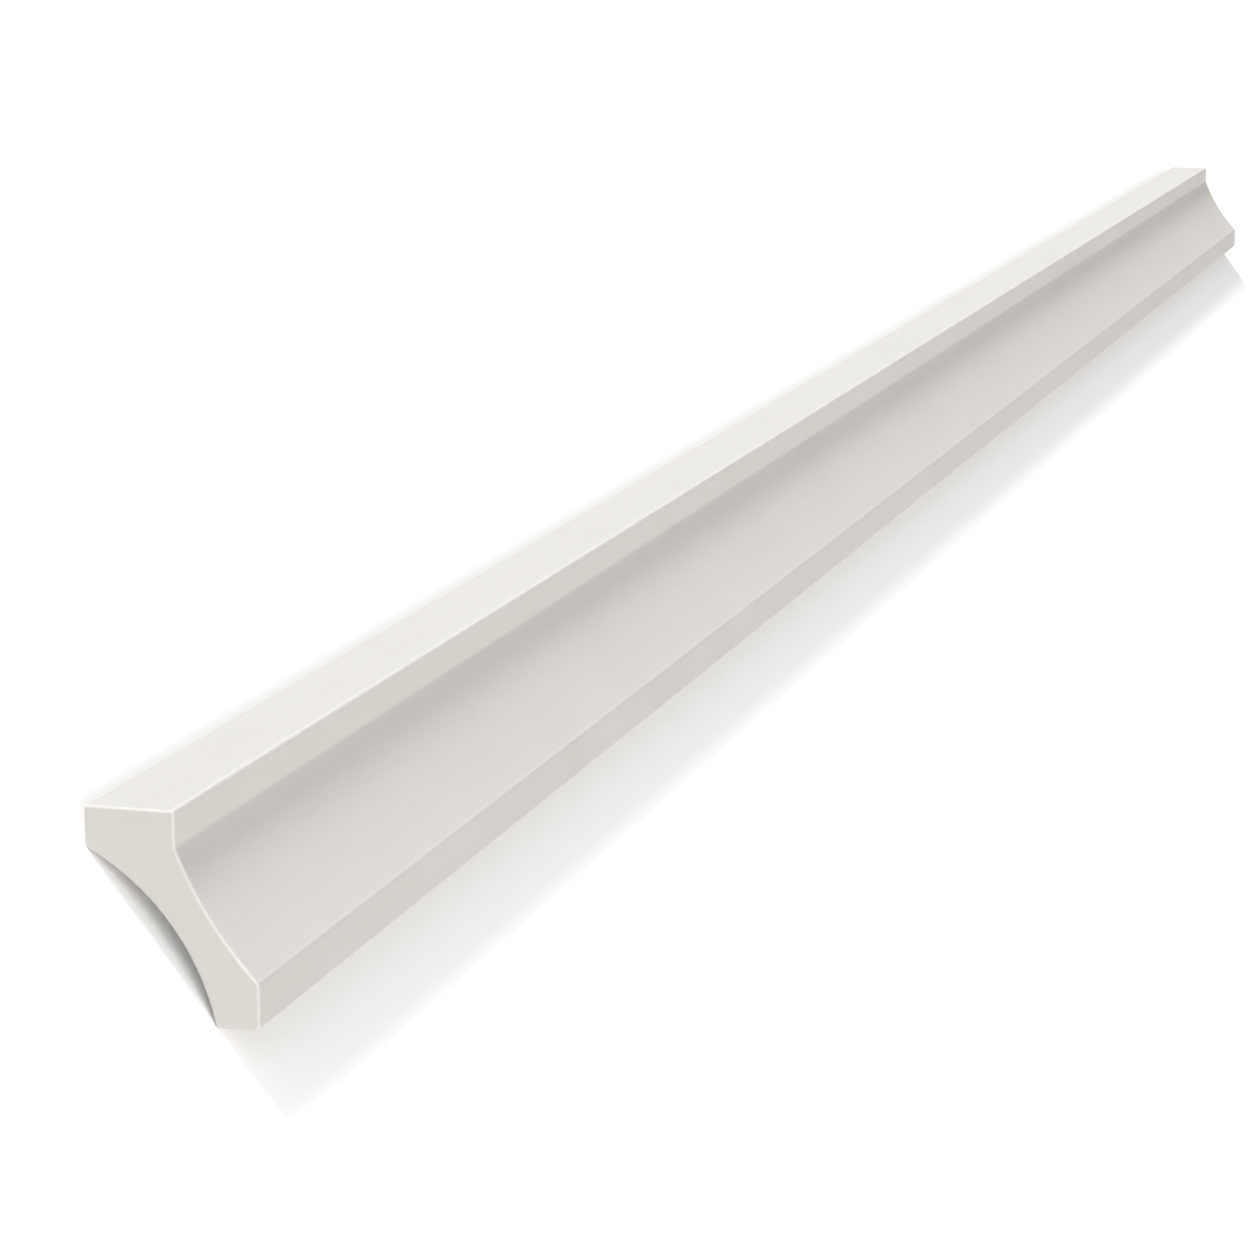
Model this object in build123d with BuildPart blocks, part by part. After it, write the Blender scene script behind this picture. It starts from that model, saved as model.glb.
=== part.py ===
"""Cove crown moulding: one straight length of solid stock, square cut at both ends.

The section is drawn as it is fixed in a room, in millimetres. The corner of the wall and
the ceiling is its origin, the room lies towards -X and the floor towards -Y. The length is
then laid down as it rests by itself: on the two arrises beside the cove, hollow back up.
"""

import os
from math import atan2, degrees

from build123d import *

# Stock length and the two legs of the section
length = 2440.0  # an eight foot length
projection = 58.0  # out from the wall, along the ceiling
drop = 70.0  # down the wall, from the ceiling

# Flats of the section
ceiling_face = 30.5  # bears on the ceiling
back_shoulder = 12.0  # upright behind the ceiling face
wall_face = 15.5  # bears on the wall
top_fillet = 14.0  # upright facing the room, above the cove
bottom_fillet = 15.0  # level underside, below the cove

# Hollows, each measured square to its chord
cove_depth = 8.3
back_hollow_depth = 2.5

# Rounds
arris_round = 1.2  # edges of the ceiling face and of the cove
shoulder_round = 4.0  # inside corner under the back shoulder
wall_round = 2.5  # upper edge of the wall face
toe_round = 2.2  # lower edge of the wall face
end_round = 1.0  # eased edges of the two cut ends

# The ease on the ends turns round every arris, so it stays smaller than the sharpest
end_ease = min(end_round, 0.9 * min(arris_round, wall_round, toe_round))

# Corners of the section before they are rounded
ceiling_room = Vector(-projection, 0)
ceiling_back = Vector(ceiling_face - projection, 0)
shoulder_foot = ceiling_back - Vector(0, back_shoulder)
wall_top = Vector(0, wall_face - drop)
toe = Vector(0, -drop)
cove_foot = Vector(-bottom_fillet, -drop)
cove_top = Vector(-projection, -top_fillet)

corner_rounds = [
    (ceiling_room, arris_round),
    (ceiling_back, arris_round),
    (shoulder_foot, shoulder_round),
    (wall_top, wall_round),
    (toe, toe_round),
    (cove_foot, arris_round),
    (cove_top, arris_round),
]

# Section of the moulding
with BuildSketch() as section:
    with BuildLine():
        Polyline(cove_top, ceiling_room, ceiling_back, shoulder_foot)
        SagittaArc(shoulder_foot, wall_top, -back_hollow_depth)
        Polyline(wall_top, toe, cove_foot)
        SagittaArc(cove_foot, cove_top, -cove_depth)
    make_face()
    for corner, radius in corner_rounds:
        fillet(section.vertices().sort_by_distance(corner)[0], radius=radius)


def round_centre(corner):
    """Centre of the round that took the place of a sharp corner."""
    return section.edges().filter_by(GeomType.CIRCLE).sort_by_distance(corner)[0].arc_center


# The floor touches the equal rounds at both ends of the cove, so it is parallel to the
# line between their centres.
cove_line = round_centre(cove_top) - round_centre(cove_foot)
lying_turn = 180 - degrees(atan2(cove_line.Y, cove_line.X))
lying_box = section.sketch.rotate(Axis.Z, lying_turn).bounding_box(optimal=True)

# The whole length, lying along X with the middle of its underside at the origin
with BuildPart() as moulding:
    with BuildSketch(Plane.YZ.offset(-length / 2)):
        with Locations((-lying_box.center().X, -lying_box.min.Y)):
            add(section.sketch, rotation=lying_turn)
    extrude(amount=length)
    fillet(moulding.faces().filter_by(Axis.X).edges(), radius=end_ease)

moulding.part.label = "crown_moulding"

os.makedirs("parts", exist_ok=True)
export_step(moulding.part, "parts/crown_moulding.step")
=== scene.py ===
import bpy
import numpy as np
from mathutils import Matrix, Vector


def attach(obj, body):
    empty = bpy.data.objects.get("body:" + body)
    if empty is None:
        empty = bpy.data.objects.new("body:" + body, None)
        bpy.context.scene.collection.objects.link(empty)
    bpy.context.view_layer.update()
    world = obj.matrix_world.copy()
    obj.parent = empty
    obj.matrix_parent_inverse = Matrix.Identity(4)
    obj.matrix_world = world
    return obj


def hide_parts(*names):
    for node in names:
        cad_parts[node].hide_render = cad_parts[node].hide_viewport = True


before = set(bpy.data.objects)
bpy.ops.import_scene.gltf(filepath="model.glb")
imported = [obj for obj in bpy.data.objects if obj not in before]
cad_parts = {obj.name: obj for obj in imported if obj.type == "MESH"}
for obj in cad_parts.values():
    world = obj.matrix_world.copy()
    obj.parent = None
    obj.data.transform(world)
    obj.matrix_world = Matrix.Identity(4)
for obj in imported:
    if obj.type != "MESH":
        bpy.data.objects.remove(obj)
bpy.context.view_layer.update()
scene = bpy.context.scene
print("crown moulding: frame loaded")

# sizes of the stick in metres; the section is drawn with the wall at x = 0 and the ceiling at y = 0
moulding = {
    "length": 2.440,
    "projection": 0.058,
    "drop": 0.070,
    "ceilingFace": 0.0305,
    "backShoulder": 0.012,
    "wallFace": 0.0155,
    "topFillet": 0.014,
    "bottomFillet": 0.015,
    "coveDepth": 0.0083,
    "backHollowDepth": 0.0025,
    "arrisRound": 0.0012,
    "shoulderRound": 0.004,
    "wallRound": 0.0025,
    "toeRound": 0.0022,
    "endRound": 0.001,
    "paintedArrisHighlight": (0.2, 0.5, 1.0, 0.0, 0.3, 0.0, 0.2),  # painted highlight on each corner's round, from the top of the cove on
    "paintedEndHighlight": 0.6,  # painted highlight on the ease round at each cut end
    "cutLean": 1.2,  # lean in radians past which the ease counts as part of the cut end
    "roundSteps": 14,  # points on each round
    "hollowSteps": 56,  # points on each hollow
    "flatSteps": 10,  # points on each flat
    "lengthSteps": 48,  # rings between the eased ends
    "easeSteps": 8,  # rings on each eased end
}


# one side of the section between two corners: a flat has an outward normal, a hollow of
# depth d on a chord c is a circle of radius (c*c/4 + d*d) / 2d with its centre in the air
def sectionSide(start, end, depth=0.0):
    chord = end - start
    span = np.hypot(*chord)
    outward = np.array([-chord[1], chord[0]]) / span
    side = {"start": start, "along": chord / span, "outward": outward, "radius": 0.0}
    if depth > 0:
        side["radius"] = (span * span / 4 + depth * depth) / (2 * depth)
        side["centre"] = (start + end) / 2 + outward * (side["radius"] - depth)
    return side


# centre of the round in a corner: the point at the round's radius from both sides, inside the
# wood for an arris and in the air for an inside corner, found where the two offset sides meet
def roundCentre(before, after, corner, radius, inWood):
    hollow = before if before["radius"] else after if after["radius"] else None
    flat = after if hollow is before else before
    if hollow is None:
        rows = np.array([before["outward"], after["outward"]])
        return np.linalg.solve(rows, rows @ corner - radius * inWood)
    origin = flat["start"] - flat["outward"] * radius * inWood
    fromCentre = origin - hollow["centre"]
    half = fromCentre @ flat["along"]
    reach = hollow["radius"] + radius * inWood
    root = np.sqrt(half * half - fromCentre @ fromCentre + reach * reach)
    found = [origin + flat["along"] * (-half + way * root) for way in (1, -1)]
    return min(found, key=lambda point: np.hypot(*(point - corner)))


# where a round touches a side: straight across from its centre
def touchPoint(side, centre, radius, inWood):
    if side["radius"]:
        ray = centre - side["centre"]
        return side["centre"] + ray / np.hypot(*ray) * side["radius"]
    return centre + side["outward"] * radius * inWood


# points on an arc from one point to another, at even angles the short way round its centre
def arcPoints(centre, start, end, steps):
    a, b = start - centre, end - centre
    turn = np.arctan2(a[0] * b[1] - a[1] * b[0], a @ b) * np.linspace(0, 1, steps + 1)
    cosine, sine = np.cos(turn), np.sin(turn)
    return centre + np.stack([cosine * a[0] - sine * a[1], sine * a[0] + cosine * a[1]], axis=1)


# the whole outline, clockwise: each corner's round, then the side that follows it. Gives the points,
# the outward normals, a mask of painted highlight over the arrises, which falls as a squared cosine
# round each, and the line between the centres of the cove's two rounds
def sectionOutline(s):
    ceilingRoom = np.array([-s["projection"], 0.0])
    ceilingBack = np.array([s["ceilingFace"] - s["projection"], 0.0])
    shoulderFoot = ceilingBack - [0.0, s["backShoulder"]]
    wallTop = np.array([0.0, s["wallFace"] - s["drop"]])
    toe = np.array([0.0, -s["drop"]])
    coveFoot = np.array([-s["bottomFillet"], -s["drop"]])
    coveTop = np.array([-s["projection"], -s["topFillet"]])
    corners = [coveTop, ceilingRoom, ceilingBack, shoulderFoot, wallTop, toe, coveFoot]
    radii = [s["arrisRound"], s["arrisRound"], s["arrisRound"], s["shoulderRound"],
             s["wallRound"], s["toeRound"], s["arrisRound"]]
    depths = [0, 0, 0, s["backHollowDepth"], 0, 0, s["coveDepth"]]
    inWood = [1, 1, 1, -1, 1, 1, 1]  # the foot of the shoulder is the one inside corner
    count = len(corners)
    sides = [sectionSide(corners[i], corners[(i + 1) % count], depths[i]) for i in range(count)]
    centres = [roundCentre(sides[i - 1], sides[i], corners[i], radii[i], inWood[i])
               for i in range(count)]
    points, normals, arris = [], [], []
    for i in range(count):
        first = touchPoint(sides[i - 1], centres[i], radii[i], inWood[i])
        last = touchPoint(sides[i], centres[i], radii[i], inWood[i])
        curve = arcPoints(centres[i], first, last, s["roundSteps"])
        points.append(curve)
        normals.append((curve - centres[i]) / radii[i] * inWood[i])
        # painted highlight mask over this round
        fall = np.cos(np.linspace(0, np.pi / 2, s["roundSteps"] + 1)) ** 2
        arris.append(fall * s["paintedArrisHighlight"][i])
        j = (i + 1) % count
        stop = touchPoint(sides[i], centres[j], radii[j], inWood[j])
        if sides[i]["radius"]:
            curve = arcPoints(sides[i]["centre"], last, stop, s["hollowSteps"])[1:-1]
            normals.append((sides[i]["centre"] - curve) / sides[i]["radius"])
        else:
            share = 0.5 - 0.5 * np.cos(np.linspace(0, np.pi, s["flatSteps"] + 1)[1:-1])
            curve = last + share[:, None] * (stop - last)
            normals.append(np.repeat(sides[i]["outward"][None], len(curve), axis=0))
        points.append(curve)
        arris.append(np.zeros(len(curve)))
    coveLine = centres[0] - centres[-1]
    return np.concatenate(points), np.concatenate(normals), np.concatenate(arris), coveLine


# the section, turned until the cove's line lies level, carried along x: plain rings, and at each end
# a quarter circle of the end round that draws the ring in along its normals while it moves out to the
# cut face
def mouldingSurface(s):
    points, normals, arris, coveLine = sectionOutline(s)
    lying = np.pi - np.arctan2(coveLine[1], coveLine[0])
    turn = np.array([[np.cos(lying), np.sin(lying)], [-np.sin(lying), np.cos(lying)]])
    points, normals = points @ turn, normals @ turn
    points -= [(points[:, 0].min() + points[:, 0].max()) / 2, points[:, 1].min()]
    ease, half = s["endRound"], s["length"] / 2
    quarter = np.linspace(0, np.pi / 2, s["easeSteps"] + 1)
    short = ease * (1 - np.sin(quarter))  # how far each eased ring is from the cut face
    straight = np.linspace(ease - half, half - ease, s["lengthSteps"] + 1)
    place = np.concatenate([short[:0:-1] - half, straight, half - short[1:]])
    lean = np.concatenate([-quarter[:0:-1], 0 * straight, quarter[1:]])
    inset = ease * (1 - np.cos(lean))
    rings, around = len(place), len(points)
    cross = points[None] - inset[:, None, None] * normals[None]
    vertices = np.dstack([np.repeat(place[:, None], around, axis=1), cross])
    endwise = np.repeat(np.sin(lean)[:, None], around, axis=1)
    facing = np.dstack([endwise, np.cos(lean)[:, None, None] * normals[None]])
    ringAt, pointAt = np.meshgrid(np.arange(rings - 1), np.arange(around), indexing="ij")
    nextAt = (pointAt + 1) % around
    here, beyond = ringAt * around, (ringAt + 1) * around
    quads = np.stack([here + pointAt, beyond + pointAt, beyond + nextAt, here + nextAt], axis=-1)
    caps = [np.arange(around), (rings - 1) * around + np.arange(around)[::-1]]
    # painted highlight on the end rounds and along the arrises, none on the cut face
    endPaintedHighlight = s["paintedEndHighlight"] * np.sin(2 * np.abs(lean))
    paintedHighlightMask = np.maximum(arris[None] * np.cos(lean)[:, None], endPaintedHighlight[:, None])
    cutMask = np.repeat((np.abs(lean) > s["cutLean"]).astype(float)[:, None], around, axis=1)
    return (vertices.reshape(-1, 3), facing.reshape(-1, 3), quads.reshape(-1, 4), caps,
            paintedHighlightMask.ravel(), cutMask.ravel())


vertices, facing, quads, caps, paintedHighlightMask, cutMask = mouldingSurface(moulding)
stickMesh = bpy.data.meshes.new("mouldingStick")
stickMesh.from_pydata(vertices.tolist(), [], quads.tolist() + [cap.tolist() for cap in caps])
stickMesh.polygons.foreach_set("use_smooth", np.ones(len(stickMesh.polygons), dtype=bool))
# the painted highlight mask is stored as the mesh's arris attribute
for maskName, mask in (("arris", paintedHighlightMask), ("cutEnd", cutMask)):
    attribute = stickMesh.attributes.new(maskName, "FLOAT", "POINT")
    attribute.data.foreach_set("value", mask.astype(np.float32))
stickMesh.normals_split_custom_set_from_vertices(facing.tolist())
stickMesh.validate(clean_customdata=False)
stick = bpy.data.objects.new("mouldingStick", stickMesh)
scene.collection.objects.link(stick)
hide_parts("crown_moulding")
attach(stick, "root")
print("crown moulding: stick has", len(stickMesh.vertices), "points and",
      len(stickMesh.polygons), "faces")


# a node with its inputs set by name, or by number as i0, i1 and so on
def addNode(tree, kind, settings=None, **values):
    node = tree.nodes.new(kind)
    for name, value in (settings or {}).items():
        setattr(node, name, value)
    for name, value in values.items():
        socket = int(name[1:]) if name[1:].isdigit() else name.replace("_", " ")
        node.inputs[socket].default_value = value
    return node


primer = {
    "colour": (0.80, 0.784, 0.752, 1.0),
    "streakColour": (0.770, 0.753, 0.719, 1.0),
    "endColour": (0.80, 0.780, 0.742, 1.0),  # the cut ends, where the wood drinks the primer
    "paintedHighlightColour": (0.90, 0.89, 0.87, 1.0),  # painted highlight: a paler colour over each arris and end round
    "roughness": (0.56, 0.64),
    "specular": 0.2,
    "noises": {  # cells per metre along and across the stick, detail, and share of the streak colour
        "streak": ((30.0, 1500.0, 1500.0), 3.0, 0.5),
        "band": ((2.5, 160.0, 160.0), 3.0, 0.3),
        "mottle": ((24.0, 24.0, 24.0), 2.0, 0.2),
    },
    "noiseSpan": (0.3, 0.7),  # where most of a noise's values lie
    "bumpStrength": 0.4,
    "bumpDepth": 0.00003,
}


# off-white primer on planed stock: noise drawn out along the stick gives the fine streaks
def primedWood(s):
    material = bpy.data.materials.new("primedWood")
    material.use_nodes = True
    tree = material.node_tree
    tree.nodes.clear()
    link = tree.links.new
    output = addNode(tree, "ShaderNodeOutputMaterial")
    shader = addNode(tree, "ShaderNodeBsdfPrincipled", Specular_IOR_Level=s["specular"])
    link(shader.outputs[0], output.inputs["Surface"])
    place = addNode(tree, "ShaderNodeTexCoord")
    least, most = s["noiseSpan"]
    noises, shares = {}, []
    for name, (scale, detail, share) in s["noises"].items():
        spot = addNode(tree, "ShaderNodeMapping", Scale=scale)
        noise = addNode(tree, "ShaderNodeTexNoise", Scale=1.0, Detail=detail)
        part = addNode(tree, "ShaderNodeMapRange", i1=least, i2=most, i3=0.0, i4=share)
        link(place.outputs["Object"], spot.inputs[0])
        link(spot.outputs[0], noise.inputs["Vector"])
        link(noise.outputs[0], part.inputs[0])
        noises[name] = noise.outputs[0]
        shares.append(part.outputs[0])
    firstSum = addNode(tree, "ShaderNodeMath", {"operation": "ADD"})
    wholeSum = addNode(tree, "ShaderNodeMath", {"operation": "ADD", "use_clamp": True})
    link(shares[0], firstSum.inputs[0])
    link(shares[1], firstSum.inputs[1])
    link(firstSum.outputs[0], wholeSum.inputs[0])
    link(shares[2], wholeSum.inputs[1])
    tone = addNode(tree, "ShaderNodeMix", {"data_type": "RGBA"}, i6=s["colour"], i7=s["streakColour"])
    link(wholeSum.outputs[0], tone.inputs[0])
    cutEnd = addNode(tree, "ShaderNodeAttribute", {"attribute_name": "cutEnd"})
    endTone = addNode(tree, "ShaderNodeMix", {"data_type": "RGBA"}, i7=s["endColour"])
    link(cutEnd.outputs["Fac"], endTone.inputs[0])
    link(tone.outputs[2], endTone.inputs[6])
    # painted highlight: the arris attribute mixes in the paler highlight colour
    arris = addNode(tree, "ShaderNodeAttribute", {"attribute_name": "arris"})
    paintedHighlightTone = addNode(tree, "ShaderNodeMix", {"data_type": "RGBA"}, i7=s["paintedHighlightColour"])
    link(arris.outputs["Fac"], paintedHighlightTone.inputs[0])
    link(endTone.outputs[2], paintedHighlightTone.inputs[6])
    link(paintedHighlightTone.outputs[2], shader.inputs["Base Color"])
    smooth, rough = s["roughness"]
    sheen = addNode(tree, "ShaderNodeMapRange", i1=least, i2=most, i3=smooth, i4=rough)
    link(noises["mottle"], sheen.inputs[0])
    link(sheen.outputs[0], shader.inputs["Roughness"])
    bump = addNode(tree, "ShaderNodeBump", Strength=s["bumpStrength"], Distance=s["bumpDepth"])
    link(noises["streak"], bump.inputs["Height"])
    link(bump.outputs[0], shader.inputs["Normal"])
    return material


stickMesh.materials.append(primedWood(primer))
print("crown moulding: primer set")

studio = {
    "floorSize": 5.0,  # from the middle to each side
    "floorColour": (0.94, 0.94, 0.935, 1.0),
    "floorBounce": (0.6, 0.6, 0.6, 1.0),  # its colour for the light it throws back at the stick
    "floorLift": (0.135, 0.45),  # added under cover and in the open, so that it reads white; the lower lift under cover is a painted shadow
    "paintedShadowSide": (0.75, -0.45, 0.48),  # the side to which the floor lies open or under cover, for the painted shadow
    "coverReach": 0.25,  # how far off the stick can be and still cover it
    "coverShare": 0.5,  # how open the floor still is where it counts as under cover
    "skyStrength": 0.10,  # what the sky lights the stick with; looked at, it is white
    "lamps": {  # direction from the near end, distance, strength there, angle across and colour
        "key": ((0.0, -0.9135, 0.4067), 200.0, 2.68, 0.2, (1.0, 1.0, 1.0)),
        "back": ((-0.7, 0.6185, 0.3571), 200.0, 0.8, 0.8, (1.0, 0.975, 0.955)),
        "front": ((0.74, 0.45, 0.50), 14.0, 2.68, 0.8, (1.0, 0.975, 0.955)),
    },
}


# 1 for the rays that look at a thing, straight or in a shine, and 0 for those that light others
def lookedAt(tree):
    rays = addNode(tree, "ShaderNodeLightPath")
    shine = addNode(tree, "ShaderNodeMath", {"operation": "MAXIMUM"})
    either = addNode(tree, "ShaderNodeMath", {"operation": "MAXIMUM"})
    tree.links.new(rays.outputs["Is Glossy Ray"], shine.inputs[0])
    tree.links.new(rays.outputs["Is Transmission Ray"], shine.inputs[1])
    tree.links.new(rays.outputs["Is Camera Ray"], either.inputs[0])
    tree.links.new(shine.outputs[0], either.inputs[1])
    return either.outputs[0]


# matte white that is lifted where it is looked at, less so where the stick covers it from a soft
# light: a painted soft shadow of the stick on the floor
def floorWhite(s):
    material = bpy.data.materials.new("studioFloor")
    material.use_nodes = True
    tree = material.node_tree
    tree.nodes.clear()
    link = tree.links.new
    output = addNode(tree, "ShaderNodeOutputMaterial")
    looked = lookedAt(tree)
    paint = addNode(tree, "ShaderNodeMix", {"data_type": "RGBA"},
                    i6=s["floorBounce"], i7=s["floorColour"])
    matte = addNode(tree, "ShaderNodeBsdfDiffuse")
    paintedShadowSide = addNode(tree, "ShaderNodeCombineXYZ", **dict(zip("XYZ", s["paintedShadowSide"])))
    openness = addNode(tree, "ShaderNodeAmbientOcclusion", Distance=s["coverReach"])
    covered, clear = s["floorLift"]
    paintedShadowLift = addNode(tree, "ShaderNodeMapRange", i1=s["coverShare"], i2=1.0, i3=covered, i4=clear)
    liftShare = addNode(tree, "ShaderNodeMath", {"operation": "MULTIPLY"})
    lift = addNode(tree, "ShaderNodeEmission")
    both = addNode(tree, "ShaderNodeAddShader")
    link(looked, paint.inputs[0])
    link(paint.outputs[2], matte.inputs["Color"])
    link(paintedShadowSide.outputs[0], openness.inputs["Normal"])
    link(openness.outputs["AO"], paintedShadowLift.inputs[0])
    link(looked, liftShare.inputs[0])
    link(paintedShadowLift.outputs[0], liftShare.inputs[1])
    link(liftShare.outputs[0], lift.inputs["Strength"])
    link(matte.outputs[0], both.inputs[0])
    link(lift.outputs[0], both.inputs[1])
    link(both.outputs[0], output.inputs["Surface"])
    return material


# floor: one flat sheet
floorMesh = bpy.data.meshes.new("studioFloor")
reach = studio["floorSize"]
sheet = [(-reach, -reach, 0), (reach, -reach, 0), (reach, reach, 0), (-reach, reach, 0)]
floorMesh.from_pydata(sheet, [], [(0, 1, 2, 3)])
floor = bpy.data.objects.new("studioFloor", floorMesh)
scene.collection.objects.link(floor)
floorMesh.materials.append(floorWhite(studio))

# sky: even and white
world = bpy.data.worlds.new("studioSky")
scene.world = world
world.use_nodes = True
tree = world.node_tree
skyShare = addNode(tree, "ShaderNodeMapRange", i1=0.0, i2=1.0, i3=studio["skyStrength"], i4=1.0)
tree.links.new(lookedAt(tree), skyShare.inputs[0])
tree.nodes["Background"].inputs["Color"].default_value = (1, 1, 1, 1)
tree.links.new(skyShare.outputs[0], tree.nodes["Background"].inputs["Strength"])

# lamps: round and far off; the power for a strength at a distance is that times 4 pi distance squared
nearEnd = Vector((moulding["length"] / 2, 0, 0))
for lampName, (toLamp, distance, strength, angle, colour) in studio["lamps"].items():
    lamp = bpy.data.lights.new(lampName + "Lamp", "POINT")
    lamp.energy = strength * 4 * np.pi * distance ** 2
    lamp.shadow_soft_size = distance * angle / 2
    lamp.color = colour
    lampObject = bpy.data.objects.new(lampName + "Lamp", lamp)
    lampObject.location = nearEnd + Vector(toLamp) * distance
    lampObject.visible_camera = False
    scene.collection.objects.link(lampObject)
print("crown moulding: studio lit")

# the stick lies down, and the camera keeps its place beside the section, so it looks down along it
view = {
    "place": (2.34402, 0.01491, 0.58579),
    "right": (-0.270602, 0.58737, 0.762739),
    "up": (-0.191983, -0.809309, 0.555122),
    "lens": 113.83,
    "sensor": 36.0,
    "clip": (0.05, 60.0),
}
cameraData = bpy.data.cameras.new("viewCamera")
cameraData.lens = view["lens"]
cameraData.sensor_width = view["sensor"]
cameraData.clip_start, cameraData.clip_end = view["clip"]
camera = bpy.data.objects.new("viewCamera", cameraData)
right, up = Vector(view["right"]).normalized(), Vector(view["up"]).normalized()
back = right.cross(up).normalized()
up = back.cross(right)
turned = Matrix((right, up, back)).transposed().to_4x4()
camera.matrix_world = Matrix.Translation(view["place"]) @ turned
scene.collection.objects.link(camera)
scene.camera = camera
scene.view_settings.view_transform = "Standard"
